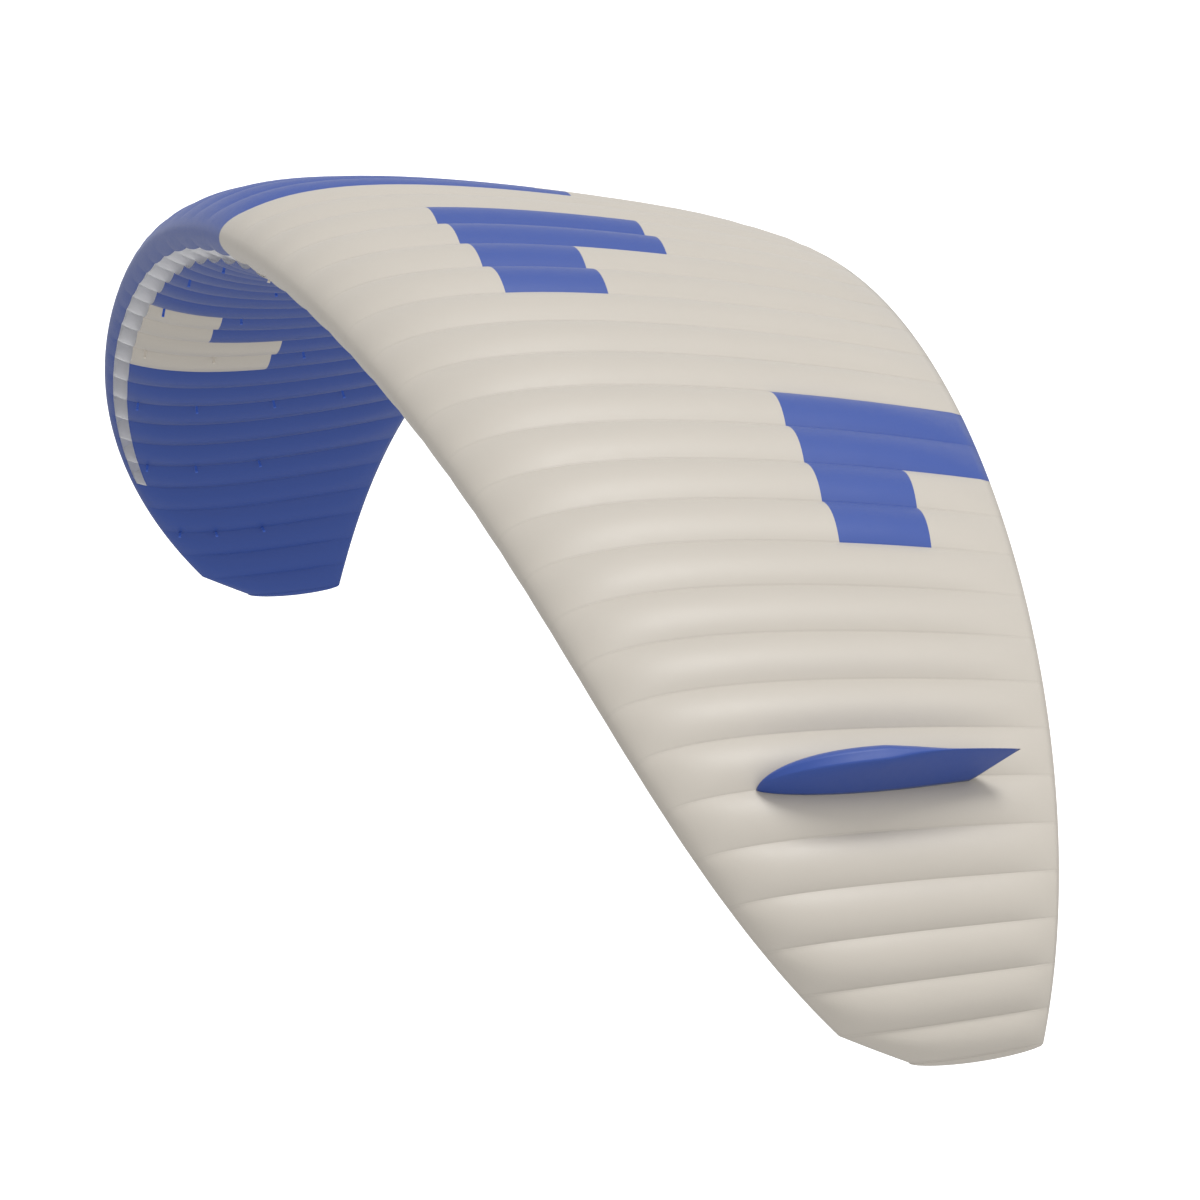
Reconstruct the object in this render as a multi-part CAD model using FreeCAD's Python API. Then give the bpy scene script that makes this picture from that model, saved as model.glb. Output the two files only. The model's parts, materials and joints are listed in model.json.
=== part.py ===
import FreeCAD, Part
import math
import os
from FreeCAD import Vector

# Ram-air kite: a cloth wing of 48 air-filled cells, built sub-part by sub-part.
# The wing flies towards -Y with +Z up. X = 0 is its plane of symmetry and its left wing is on +X.
# The origin is the middle of the eye of the centre rib's front line loop, which holds the wing up.
# Ribs are counted from the tip (0) to the centre (CELLS_PER_SIDE); places between two ribs are
# fractions, so 8.5 is the middle of a cell. Cloth is drawn CLOTH thick, much thicker than the
# real fabric, so that it makes sound solids. All lengths are in millimetres and angles in degrees.

# overall shape
HALF_SPAN = 5890.0          # centre to tip, measured along the arch
ROOT_CHORD = 2480.0         # nose to trailing edge at the centre
CELLS_PER_SIDE = 24
SWEEP = {2: 606.0, 4: -448.0, 8: 834.0}      # nose line's fall back, by power of the span fraction
TAPER = {2: 1775.0, 4: -846.0, 8: 964.0}     # chord lost towards the tip, same powers
ARCH = {1: 43.2, 3: -35.6, 5: 80.7}          # slope of the arch in degrees, same powers
SPREAD_3 = 0.329            # how much the cells narrow towards the tip, cubic share
SPREAD_7 = -0.037           # the same, seventh-power share
TIP_TRIM = 20.0             # the outermost cell is this much narrower
TIP_NOSE_CUT = 125.0        # the tip rib's nose is drawn back by this much
ROOT_TWIST = 5.1            # nose-up angle of the centre rib
TWIST_LOSS = 3.8            # how much of it is gone at the tip
TWIST_CENTRE = 0.3          # share of the chord about which ribs are twisted
SECTION_THICKNESS = 0.156   # rib thickness as a share of its chord
EDGE_HALF_HEIGHT = 6.0      # half the height of the open trailing edge before it is taped
BULGE_SHARE = 0.10          # how far a cell swells, as a share of its width
CLOTH = 2.0                 # stand-in thickness of the cloth
SEAM = 0.3                  # gap left between pieces that are sewn together
SLANT_SEAM = 0.9            # the same where the cloth runs off at a slant, as near the tips
STEEP_SEAM = 1.7            # the same at the last rib before the tip, where the nose is drawn back

# where the cloth is cut along the chord, as shares of the chord
UPPER_LIP = 0.020           # upper lip of the intake, on the lower surface
LOWER_LIP = 0.058           # lower lip of the intake
NOSE_PANEL_END = 0.10       # where the nose panel ends on the upper surface
BRAKE_LINE = 0.80           # the brake flap starts here
TAPE_START = 0.985          # trailing edge tape starts here
RIB_END = 0.975             # ribs end ahead of the tape
BRAKE_RIB_GAP = 0.01        # ribs stop this share of the chord short of the brake line

# where the cloth is cut along the span, in ribs from the tip
INTAKE_START = 5            # cells outboard of this rib are closed
FOLD_RIB = 8                # the wing tip folds here
BRAKE_OUTER = 11            # outboard end of the brake flap
BRAKE_INNER = 20            # inboard end of the brake flap
WINGLET_RIB = 6             # the winglet stands on this rib's seam
FIRST_BATTEN_RIB = 3        # the narrow cells nearest the tip have no battens

# gaps that the moving sections need
FOLD_GAP = 0.6              # between the doubled ribs at the fold
FOLD_AXIS_DROP = 5.0        # how far the fold's axis lies under the wing's belly
BRAKE_AXIS_DROP = 4.0       # how far the flap's axis lies under the lower cloth
BRAKE_GAP = 0.6             # along the brake line
BRAKE_SIDE_GAP = 30.0       # at each end of the brake flap

# ribs
RIB_CLOTH = 1.5
PORT_PLACES = (0.13, 0.25, 0.38, 0.51, 0.64)
PORT_SHARE = 0.30           # a port's radius as a share of the rib's height there
TAIL_PORT_PLACE = 0.875

# battens, straps and diagonals
BATTEN_WIDTH = 3.0
BATTEN_THICKNESS = 2.4
BATTEN_UPPER_END = 0.16
BATTEN_DEPTH = 10.0         # how far inside the cloth the batten lies
STRAP_WIDTH = 25.0
STRAP_THICKNESS = 1.5
STRAP_PLACES = (0.33, 0.58)
STRAP_DEPTH = 12.0          # above the lower cloth
DIAGONAL_WIDTH = 90.0
DIAGONAL_THICKNESS = 1.5
DIAGONAL_DEPTH = 16.0       # how far from either cloth the diagonals are sewn

# line loops
ROW_PLACES = {"a": 0.09, "b": 0.26, "c": 0.49, "d": 0.70}
LOAD_RIBS = (21, 18, 15, 12, 9)     # the centre rib carries loops too
TIP_LOAD_RIBS = (6, 3)
TIP_ROWS = ("a", "b", "c")
BRAKE_RIBS = (19, 17, 15, 13)
BRAKE_LOOP_PLACE = 0.965
LOOP_EYE = 4.5              # radius of the eye
LOOP_TAPE = 1.5             # thickness of the tape round the eye
LOOP_WIDTH = 12.0           # tape width, along the chord
LOOP_NECK = 32.0            # from the cloth to the ring

# winglet
WINGLET_START = 0.21
WINGLET_END = 0.76
WINGLET_TIP = 0.87          # its aft point, as a share of the chord
WINGLET_TIP_HEIGHT = 177.0
WINGLET_HEIGHT = 235.0
WINGLET_PEAK = 0.56         # where along its length it is tallest
WINGLET_HALF_WIDTH = 44.0   # half its width at the foot
WINGLET_CLOTH = 1.5
WINGLET_WEB = 5             # which of its cross-sections has a web
WINGLET_WEB_DROP = 30.0     # how far the web stays below the outer edge
WINGLET_NOSE_GAP = 0.010    # shares of the chord left off the winglet's sharp ends
WINGLET_TAIL_GAP = 0.015
WINGLET_SECTIONS = 12       # steps between cross-sections along the winglet
WINGLET_STEPS = 8           # steps between points up each of its sides
WINGLET_BELLY = 2.6         # brings the widest place of the belly curve close to 1
WINGLET_FALL = 1.5          # power of the outer edge's fall behind its peak

SECTION_STEPS = 14          # points along a long run of section curve
ARCH_STEPS = 60             # steps of the integral along the arch
TURN_STEP = 0.002           # step of turn value for the section curve's direction


def power_sum(terms, fraction):
    """Add up the terms of a polynomial given as {power: factor}."""
    return sum(factor * fraction ** power for power, factor in terms.items())


def span_fraction(rib):
    """Share of the half span at which a rib (or a place between ribs) stands."""
    inward = (CELLS_PER_SIDE - rib) / CELLS_PER_SIDE
    fraction = ((1 + SPREAD_3 + SPREAD_7) * inward - SPREAD_3 * inward ** 3 - SPREAD_7 * inward ** 7)
    if rib < 1:
        fraction -= (1 - rib) * TIP_TRIM / HALF_SPAN
    return fraction


def slope(fraction):
    """Angle of the arch below the horizontal, in radians."""
    return math.radians(power_sum(ARCH, fraction))


def arch_point(fraction):
    """Distance from the centre plane and height of the arch, by Simpson's rule."""
    step = fraction / ARCH_STEPS
    across = 0.0
    down = 0.0
    for index in range(ARCH_STEPS + 1):
        weight = 1 if index in (0, ARCH_STEPS) else 4 if index % 2 else 2
        angle = slope(index * step)
        across += weight * math.cos(angle)
        down += weight * math.sin(angle)
    return HALF_SPAN * across * step / 3, -HALF_SPAN * down * step / 3


def swell_fade(place):
    """Share of a cell's swelling at a share of the chord: none at the nose and at the trailing edge."""
    return 1 - (1 - 4 * place * (1 - place)) ** 2


class Station:
    """One chordwise section of the wing, at a rib or between two ribs."""

    def __init__(self, rib):
        fraction = span_fraction(rib)
        angle = slope(fraction)
        across, height = arch_point(fraction)
        cut = TIP_NOSE_CUT * max(0.0, 1 - rib)
        self.origin = Vector(across, 0, height)
        self.spanwise = Vector(math.cos(angle), 0, -math.sin(angle))
        self.up = Vector(math.sin(angle), 0, math.cos(angle))
        self.nose = power_sum(SWEEP, fraction) + cut
        self.chord = ROOT_CHORD - power_sum(TAPER, fraction) - cut
        self.twist = math.radians(ROOT_TWIST - TWIST_LOSS * fraction ** 2)
        whole = min(math.floor(rib), CELLS_PER_SIDE - 1)
        self.cell_width = HALF_SPAN * (span_fraction(whole) - span_fraction(whole + 1))
        share = rib - whole
        self.swell = BULGE_SHARE * self.cell_width * 4 * share * (1 - share)

    def half_height(self, place):
        """Half the height of the section at a share of its chord."""
        curve = (0.2969 * math.sqrt(place) - 0.126 * place - 0.3516 * place ** 2
                 + 0.2843 * place ** 3 - 0.1036 * place ** 4)
        return 5 * SECTION_THICKNESS * self.chord * curve + EDGE_HALF_HEIGHT * place

    def flat_point(self, turn):
        """Section point before twist. turn is the root of the chord share, negative on the lower side."""
        place = turn * turn
        height = self.half_height(place) + self.swell * swell_fade(place)
        return self.chord * place, math.copysign(height, turn) if turn else 0.0

    def point(self, turn, depth=0.0, sideways=0.0):
        """Point of the section, moved inward by depth and along the span by sideways."""
        before = self.flat_point(turn - TURN_STEP)
        after = self.flat_point(turn + TURN_STEP)
        along = after[0] - before[0]
        rise = after[1] - before[1]
        length = math.hypot(along, rise)
        here = self.flat_point(turn)
        x = here[0] + depth * rise / length
        z = here[1] - depth * along / length
        return self.place(x, z, sideways)

    def place(self, x, z, sideways=0.0):
        """Turn chordwise and upward distances of the flat section into a point of the wing."""
        pivot = TWIST_CENTRE * self.chord
        back = self.nose + pivot + (x - pivot) * math.cos(self.twist) + z * math.sin(self.twist)
        rise = z * math.cos(self.twist) - (x - pivot) * math.sin(self.twist)
        return self.origin + Vector(0, back, 0) + self.up * rise + self.spanwise * sideways


def upper(place):
    """Turn value of a chord share on the upper surface."""
    return math.sqrt(place)


def lower(place):
    """Turn value of a chord share on the lower surface."""
    return -math.sqrt(place)


def spaced(start, end, steps=SECTION_STEPS):
    return [start + (end - start) * index / steps for index in range(steps + 1)]


def smooth_edge(points, reverse=False):
    """Curve through points, with even knots so that neighbouring sections match."""
    if reverse:
        points = points[::-1]
    curve = Part.BSplineCurve()
    curve.interpolate(Points=points, Parameters=[float(i) for i in range(len(points))])
    return curve.toShape()


def band_wire(outer, inner):
    """Closed wire round a strip of cloth seen edge on."""
    ends = [Part.makeLine(outer[-1], inner[-1]), Part.makeLine(inner[0], outer[0])]
    return Part.Wire([smooth_edge(outer), ends[0], smooth_edge(inner, True), ends[1]])


def loft(wires):
    return Part.makeLoft(wires, True, True)


def stations(outer_rib, inner_rib, outer_gap=0.0, inner_gap=0.0):
    """Stations at each rib and each cell middle between two ribs, with gaps in mm at the ends."""
    first = outer_rib + outer_gap / Station(outer_rib + 0.5).cell_width
    last = inner_rib - inner_gap / Station(inner_rib - 0.5).cell_width
    halves = [index / 2 for index in range(2 * outer_rib + 1, 2 * inner_rib)]
    return [Station(first)] + [Station(half) for half in halves] + [Station(last)]


def cloth_panel(sections, start, end, start_gap=0.0, end_gap=0.0):
    """Sail cloth over the given stations, between two turn values, with gaps in mm at both cuts."""
    wires = []
    for section in sections:
        first = shifted(section, start, start_gap)
        last = shifted(section, end, -end_gap)
        turns = spaced(first, last)
        outer = [section.point(turn) for turn in turns]
        inner = [section.point(turn, CLOTH) for turn in turns]
        wires.append(band_wire(outer, inner))
    return loft(wires)


def nose_panels(outer_rib, inner_rib, outer_gap, inner_gap):
    """Cloth round the nose from the intake's upper lip to the upper sail, one panel a cell."""
    panels = []
    for rib in range(outer_rib, inner_rib):
        first_gap = outer_gap if rib == outer_rib else SEAM / 2
        last_gap = inner_gap if rib + 1 == inner_rib else SEAM / 2
        cell = stations(rib, rib + 1, first_gap, last_gap)
        panels.append(cloth_panel(cell, lower(UPPER_LIP), upper(NOSE_PANEL_END)))
    return panels


def shifted(section, turn, distance):
    """Turn value a small distance in mm further along the section curve."""
    if distance == 0:
        return turn
    x0, z0 = section.flat_point(turn)
    x1, z1 = section.flat_point(turn + math.copysign(TURN_STEP, distance))
    return turn + distance * TURN_STEP / math.hypot(x1 - x0, z1 - z0)


def plate(section, outline, holes, thickness, sideways=0.0):
    """Flat cloth plate in a section's plane: outline wire and round holes, thickened along the span."""
    rings = [Part.Wire(Part.makeCircle(radius, centre, section.spanwise)) for centre, radius in holes]
    face = Part.makeFace([outline] + rings, "Part::FaceMakerBullseye")
    face.translate(section.spanwise * (sideways - thickness / 2))
    return face.extrude(section.spanwise * thickness)


def rib_plate(section, front, back, ports, sideways=0.0, gap=SEAM):
    """Rib between two chord shares; a front of zero follows the nose round."""
    depth = CLOTH + gap
    if front == 0:
        turns = spaced(lower(back), upper(back), 2 * SECTION_STEPS)
        curve = smooth_edge([section.point(turn, depth) for turn in turns])
        edges = [curve, Part.makeLine(section.point(upper(back), depth), section.point(lower(back), depth))]
    else:
        top = [section.point(turn, depth) for turn in spaced(upper(front), upper(back))]
        foot = [section.point(turn, depth) for turn in spaced(lower(back), lower(front))]
        edges = [smooth_edge(top), Part.makeLine(top[-1], foot[0]),
                 smooth_edge(foot), Part.makeLine(foot[-1], top[0])]
    holes = [(section.place(section.chord * place, 0), 2 * PORT_SHARE * section.half_height(place))
             for place in ports]
    return plate(section, Part.Wire(edges), holes, RIB_CLOTH, sideways)


def main_ribs():
    """Root body's ribs from the fold to the last one before the centre."""
    ribs = [rib_plate(Station(FOLD_RIB), 0, RIB_END, (), -(FOLD_GAP + RIB_CLOTH) / 2)]
    for rib in range(FOLD_RIB + 1, CELLS_PER_SIDE):
        cut_short = BRAKE_OUTER < rib < BRAKE_INNER
        back = BRAKE_LINE - BRAKE_RIB_GAP if cut_short else RIB_END
        ribs.append(rib_plate(Station(rib), 0, back, PORT_PLACES))
    return ribs


def tip_ribs():
    """The tips' ribs, from the end plate to the outer half of the doubled rib at the fold."""
    ribs = [rib_plate(Station(0), 0, RIB_END, (), -RIB_CLOTH / 2, SLANT_SEAM)]
    ribs.append(rib_plate(Station(1), 0, RIB_END, PORT_PLACES, 0.0, STEEP_SEAM))
    ribs += [rib_plate(Station(rib), 0, RIB_END, PORT_PLACES, 0.0, SLANT_SEAM)
             for rib in range(2, FOLD_RIB)]
    ribs.append(rib_plate(Station(FOLD_RIB), 0, RIB_END, (), (FOLD_GAP + RIB_CLOTH) / 2, SLANT_SEAM))
    return ribs


def brake_ribs():
    """The ribs' tails in the brake flap, with a plate at each end of it."""
    front = BRAKE_LINE + BRAKE_RIB_GAP
    ribs = [rib_plate(Station(rib), front, RIB_END, (TAIL_PORT_PLACE,))
            for rib in range(BRAKE_OUTER + 1, BRAKE_INNER)]
    for section, side in ((brake_stations()[0], -1), (brake_stations()[-1], 1)):
        ribs.append(rib_plate(section, front, RIB_END, (), side * RIB_CLOTH))
    return ribs


def brake_stations():
    """Stations of the brake flap, which leaves a slit at each of its ends."""
    return stations(BRAKE_OUTER, BRAKE_INNER, BRAKE_SIDE_GAP, BRAKE_SIDE_GAP)


def battens(first_rib, last_rib):
    """Bent plastic strips sewn beside each rib's nose, from the intake lip over the nose."""
    shapes = []
    for rib in range(first_rib, last_rib):
        section = Station(rib)
        turns = spaced(lower(UPPER_LIP), upper(BATTEN_UPPER_END))
        outer = [section.point(turn, BATTEN_DEPTH) for turn in turns]
        inner = [section.point(turn, BATTEN_DEPTH + BATTEN_WIDTH) for turn in turns]
        sideways = RIB_CLOTH / 2 + SEAM + BATTEN_THICKNESS / 2
        shapes.append(plate(section, band_wire(outer, inner), [], BATTEN_THICKNESS, sideways))
    return shapes


def box_between(start, end, along, across, length, thickness):
    """Flat strip from one point to another, length wide along one way and thin across it."""
    wires = []
    for centre in (start, end):
        corners = [centre + along * (i * length / 2) + across * (j * thickness / 2)
                   for i, j in ((-1, -1), (1, -1), (1, 1), (-1, 1), (-1, -1))]
        wires.append(Part.makePolygon(corners))
    return loft(wires)


def chordwise(section):
    """Unit vector along a section's chord, pointing aft."""
    return (section.place(section.chord, 0) - section.place(0, 0)).normalize()


def straps():
    """Tapes that tie the ribs together, one piece a cell, just above the lower cloth."""
    shapes = []
    side = RIB_CLOTH / 2 + SEAM
    for place in STRAP_PLACES:
        for rib in range(FOLD_RIB, CELLS_PER_SIDE):
            outer = Station(rib)
            inner = Station(rib + 1)
            extra = (FOLD_GAP + RIB_CLOTH) / 2 if rib == FOLD_RIB else 0.0
            start = outer.point(lower(place), CLOTH + STRAP_DEPTH, -side - extra)
            end = inner.point(lower(place), CLOTH + STRAP_DEPTH, side)
            shapes.append(box_between(start, end, chordwise(outer), outer.up, STRAP_WIDTH, STRAP_THICKNESS))
    return shapes


def diagonals():
    """Diagonal ribs from the foot of each load rib to the head of its neighbours."""
    shapes = []
    side = (RIB_CLOTH + DIAGONAL_THICKNESS) / 2 + SEAM
    doubled = (FOLD_GAP + RIB_CLOTH) / 2
    depth = CLOTH + DIAGONAL_DEPTH
    for rib in LOAD_RIBS:
        foot = Station(rib)
        for step in (-1, 1):
            head = Station(rib + step)
            extra = doubled if rib + step == FOLD_RIB else 0.0
            for row in ("b", "c"):
                place = ROW_PLACES[row]
                start = foot.point(lower(place), depth, -step * side)
                end = head.point(upper(place), depth, step * side - extra)
                lean = (end - start).normalize()
                across = lean.cross(chordwise(foot)).normalize()
                shapes.append(box_between(start, end, chordwise(foot), across,
                                          DIAGONAL_WIDTH, DIAGONAL_THICKNESS))
    return shapes


def loop_frame(section, turn):
    """Where a line loop leaves the cloth, the way it points and the way its eye runs."""
    skin = section.point(turn)
    outward = (skin - section.point(turn, 1.0)).normalize()
    return skin, outward, section.spanwise.cross(outward).normalize()


def loop_eye(section, turn):
    """Middle of a line loop's eye."""
    skin, outward, _ = loop_frame(section, turn)
    return skin + outward * (LOOP_NECK + LOOP_EYE + LOOP_TAPE)


def line_loop(section, turn):
    """Cloth tape loop: a neck that leaves the cloth and a ring round the eye, eye along the chord."""
    skin, outward, chord_way = loop_frame(section, turn)
    ring_radius = LOOP_EYE + LOOP_TAPE
    drop = LOOP_NECK + ring_radius
    ring = Part.makeCylinder(ring_radius, LOOP_WIDTH, Vector(0, -LOOP_WIDTH / 2, drop), Vector(0, 1, 0))
    neck = Part.makeBox(2 * LOOP_TAPE, LOOP_WIDTH, drop - SLANT_SEAM,
                        Vector(-LOOP_TAPE, -LOOP_WIDTH / 2, SLANT_SEAM))
    eye = Part.makeCylinder(LOOP_EYE, 2 * LOOP_WIDTH, Vector(0, -LOOP_WIDTH, drop), Vector(0, 1, 0))
    shape = neck.fuse(ring).cut(eye)
    turn_to_skin = FreeCAD.Rotation(outward.cross(chord_way) * -1, chord_way, outward, "ZYX")
    shape.Placement = FreeCAD.Placement(skin, turn_to_skin)
    return shape


def row_loops(row, ribs):
    return [line_loop(Station(rib), lower(ROW_PLACES[row])) for rib in ribs]


def tip_loops():
    return [loop for row in TIP_ROWS for loop in row_loops(row, TIP_LOAD_RIBS)]


def brake_loops():
    return [line_loop(Station(rib), lower(BRAKE_LOOP_PLACE)) for rib in BRAKE_RIBS]


def edge_tape(sections):
    """Tape that closes the trailing edge between the two skins."""
    wires = []
    depth = CLOTH + SEAM
    for section in sections:
        corners = [section.point(turn, depth)
                   for turn in (upper(TAPE_START), upper(1), lower(1), lower(TAPE_START))]
        wires.append(Part.makePolygon(corners + corners[:1]))
    return loft(wires)


def winglet_share(place):
    """How far along the winglet a chord share lies, 0 at its nose and 1 at its aft point."""
    return (place - WINGLET_START) / (WINGLET_TIP - WINGLET_START)


def winglet_top(place):
    """Height of the winglet's outer edge: a quarter ellipse up to its peak, then a gentle fall."""
    share = winglet_share(place)
    if share < WINGLET_PEAK:
        return WINGLET_HEIGHT * math.sqrt(1 - (1 - share / WINGLET_PEAK) ** 2)
    fall = (share - WINGLET_PEAK) / (1 - WINGLET_PEAK)
    return WINGLET_HEIGHT - (WINGLET_HEIGHT - WINGLET_TIP_HEIGHT) * fall ** WINGLET_FALL


def winglet_foot(place):
    """Height at which the winglet starts: the cloth, or its free lower edge behind the foot."""
    overhang = max(0.0, place - WINGLET_END) / (WINGLET_TIP - WINGLET_END)
    return WINGLET_TIP_HEIGHT * overhang


def winglet_half_width(place, height):
    """Half the winglet's width: widest at its foot, closing towards its ends and its outer edge."""
    share = winglet_share(place)
    belly = WINGLET_BELLY * math.sqrt(share) * (1 - share)
    return WINGLET_HALF_WIDTH * belly * math.sqrt(max(0.0, 1 - (height / winglet_top(place)) ** 2))


def winglet_points(section, place, side, shrink, top_gap=0.0):
    """One side of the winglet's cross-section from foot to outer edge, drawn in by shrink."""
    points = []
    foot = winglet_foot(place)
    top = winglet_top(place) - top_gap
    for share in spaced(0, 1, WINGLET_STEPS):
        height = foot + (top - foot) * share
        width = winglet_half_width(place, height) + WINGLET_CLOTH + SEAM / 2 - shrink
        swell = 2 * BULGE_SHARE * width * swell_fade(place)
        lift = (1 - share) * (swell + SLANT_SEAM)
        points.append(section.point(upper(place), -height - lift, -side * width))
    return points


def winglet_panel(side):
    """One cloth side of the winglet: side is 1 towards the centre and -1 towards the tip."""
    section = Station(WINGLET_RIB)
    return loft([band_wire(winglet_points(section, place, side, 0.0),
                           winglet_points(section, place, side, WINGLET_CLOTH))
                 for place in winglet_places()])


def winglet_places():
    """Chord shares of the winglet's cross-sections."""
    return spaced(WINGLET_START + WINGLET_NOSE_GAP, WINGLET_TIP - WINGLET_TAIL_GAP, WINGLET_SECTIONS)


def winglet_rib():
    """Cloth web that stands across the winglet between its two sides."""
    section = Station(WINGLET_RIB)
    place = winglet_places()[WINGLET_WEB]
    inset = WINGLET_CLOTH + SLANT_SEAM
    left = winglet_points(section, place, 1, inset, WINGLET_WEB_DROP)
    right = winglet_points(section, place, -1, inset, WINGLET_WEB_DROP)
    edges = [smooth_edge(left), Part.makeLine(left[-1], right[-1]),
             smooth_edge(right, True), Part.makeLine(right[0], left[0])]
    face = Part.Face(Part.Wire(edges))
    normal = (right[0] - left[0]).cross(left[-1] - left[0]).normalize()
    face.translate(normal * (-RIB_CLOTH / 2))
    return face.extrude(normal * RIB_CLOTH)


def left_side():
    """Every sub-part of the left half of the wing, as {name: list of solids}."""
    tip = stations(0, FOLD_RIB, 0.0, FOLD_GAP / 2)
    closure = cloth_panel(stations(0, INTAKE_START), lower(LOWER_LIP), lower(UPPER_LIP), SEAM, SEAM)
    outer = stations(FOLD_RIB, BRAKE_OUTER, FOLD_GAP / 2, SEAM)
    middle = stations(BRAKE_OUTER, BRAKE_INNER)
    inner = stations(BRAKE_INNER, CELLS_PER_SIDE, SEAM, SEAM / 2)
    flap = brake_stations()
    half = BRAKE_GAP / 2
    parts = {
        "nose_panel": nose_panels(FOLD_RIB, CELLS_PER_SIDE, FOLD_GAP / 2, SEAM / 2),
        "upper_sail_outer": [cloth_panel(outer, upper(NOSE_PANEL_END), upper(1), SEAM)],
        "upper_sail_middle": [cloth_panel(middle, upper(NOSE_PANEL_END), upper(BRAKE_LINE), SEAM, half)],
        "upper_sail_inner": [cloth_panel(inner, upper(NOSE_PANEL_END), upper(1), SEAM)],
        "lower_sail_outer": [cloth_panel(outer, lower(1), lower(LOWER_LIP))],
        "lower_sail_middle": [cloth_panel(middle, lower(BRAKE_LINE), lower(LOWER_LIP), half)],
        "lower_sail_inner": [cloth_panel(inner, lower(1), lower(LOWER_LIP))],
        "brake_upper_sail": [cloth_panel(flap, upper(BRAKE_LINE), upper(1), half)],
        "brake_lower_sail": [cloth_panel(flap, lower(1), lower(BRAKE_LINE), 0, half)],
        "brake_ribs": brake_ribs(),
        "brake_edge_tape": [edge_tape(flap)],
        "brake_line_loops": brake_loops(),
        "tip_upper_sail": [cloth_panel(tip, upper(NOSE_PANEL_END), upper(1), SEAM)],
        "tip_lower_sail": [cloth_panel(tip, lower(1), lower(LOWER_LIP))],
        "tip_nose_panel": nose_panels(0, FOLD_RIB, 0.0, FOLD_GAP / 2) + [closure],
        "tip_ribs": tip_ribs(),
        "tip_edge_tape": [edge_tape(tip)],
        "tip_battens": battens(FIRST_BATTEN_RIB, FOLD_RIB),
        "tip_line_loops": tip_loops(),
        "winglet_inner_side": [winglet_panel(1)],
        "winglet_outer_side": [winglet_panel(-1)],
        "winglet_rib": [winglet_rib()],
        "main_ribs": main_ribs(),
        "nose_battens": battens(FOLD_RIB + 1, CELLS_PER_SIDE),
        "span_straps": straps(),
        "diagonal_ribs": diagonals(),
        "edge_tape": [edge_tape(outer), edge_tape(inner)],
    }
    return parts


def brake_axis():
    """Two points of the left brake flap's hinge line, just under the lower cloth at the brake line."""
    drop = Station((BRAKE_OUTER + BRAKE_INNER) / 2).up * -BRAKE_AXIS_DROP
    ends = brake_stations()
    return [section.point(lower(BRAKE_LINE)) + drop for section in (ends[0], ends[-1])]


def fold_axis():
    """Two points of the line about which the left tip folds, just under the belly of its rib."""
    section = Station(FOLD_RIB)
    belly = max(section.half_height(place) for place in spaced(0.0, 1.0, 100))
    return [section.place(x, -belly - FOLD_AXIS_DROP) for x in (0.0, section.chord)]


def mirrored(solids):
    return [solid.mirror(Vector(0, 0, 0), Vector(1, 0, 0)) for solid in solids]


def hang_point():
    """The part's origin: the eye of the centre rib's front line loop."""
    return loop_eye(Station(CELLS_PER_SIDE), lower(ROW_PLACES["a"]))


def write(name, solids):
    compound = Part.makeCompound(solids)
    compound.translate(hang_point() * -1)
    compound.exportStep(os.path.join("parts", name + ".step"))
    volume = sum(solid.Volume for solid in solids)
    print(name, len(solids), "valid" if all(solid.isValid() for solid in solids) else "INVALID",
          round(volume / 1e6, 3), "litres")


def build():
    """Write every sub-part, and print the axes of the joints from the origin."""
    os.makedirs("parts", exist_ok=True)
    for name, axis in (("brake axis", brake_axis()), ("fold axis", fold_axis())):
        print(name, *[point - hang_point() for point in axis])
    write("centre_rib", [rib_plate(Station(CELLS_PER_SIDE), 0, RIB_END, PORT_PLACES)])
    for row in ROW_PLACES:
        loops = row_loops(row, LOAD_RIBS)
        write(row + "_line_loops", row_loops(row, (CELLS_PER_SIDE,)) + loops + mirrored(loops))
    for name, solids in left_side().items():
        write(name + "_left", solids)
        write(name + "_right", mirrored(solids))


build()
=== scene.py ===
import json
import math
import bmesh
import bpy
import numpy as np
from mathutils import Matrix, Vector


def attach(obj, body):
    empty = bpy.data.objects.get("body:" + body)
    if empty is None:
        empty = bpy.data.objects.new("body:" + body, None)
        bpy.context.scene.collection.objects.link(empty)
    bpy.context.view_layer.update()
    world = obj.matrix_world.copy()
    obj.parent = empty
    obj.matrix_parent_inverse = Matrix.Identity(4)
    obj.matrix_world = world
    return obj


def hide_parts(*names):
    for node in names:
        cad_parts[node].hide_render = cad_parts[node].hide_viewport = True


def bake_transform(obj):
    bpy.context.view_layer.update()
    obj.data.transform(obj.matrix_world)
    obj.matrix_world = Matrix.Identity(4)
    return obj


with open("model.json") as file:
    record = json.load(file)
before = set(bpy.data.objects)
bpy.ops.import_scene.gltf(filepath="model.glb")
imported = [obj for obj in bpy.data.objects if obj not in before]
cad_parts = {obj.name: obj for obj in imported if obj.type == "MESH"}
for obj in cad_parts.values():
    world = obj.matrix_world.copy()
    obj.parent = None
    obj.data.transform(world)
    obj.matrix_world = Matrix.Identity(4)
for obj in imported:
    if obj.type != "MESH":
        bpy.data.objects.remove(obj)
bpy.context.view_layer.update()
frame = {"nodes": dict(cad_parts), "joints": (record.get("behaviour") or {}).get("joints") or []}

# overall shape, as in the CAD source
HALF_SPAN = 5.890
ROOT_CHORD = 2.480
CELLS = 24
SWEEP = {2: 0.606, 4: -0.448, 8: 0.834}
TAPER = {2: 1.775, 4: -0.846, 8: 0.964}
ARCH = {1: 43.2, 3: -35.6, 5: 80.7}
SPREAD_3 = 0.329
SPREAD_7 = -0.037
TIP_TRIM = 0.020
TIP_NOSE_CUT = 0.125
ROOT_TWIST = 5.1
TWIST_LOSS = 3.8
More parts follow.
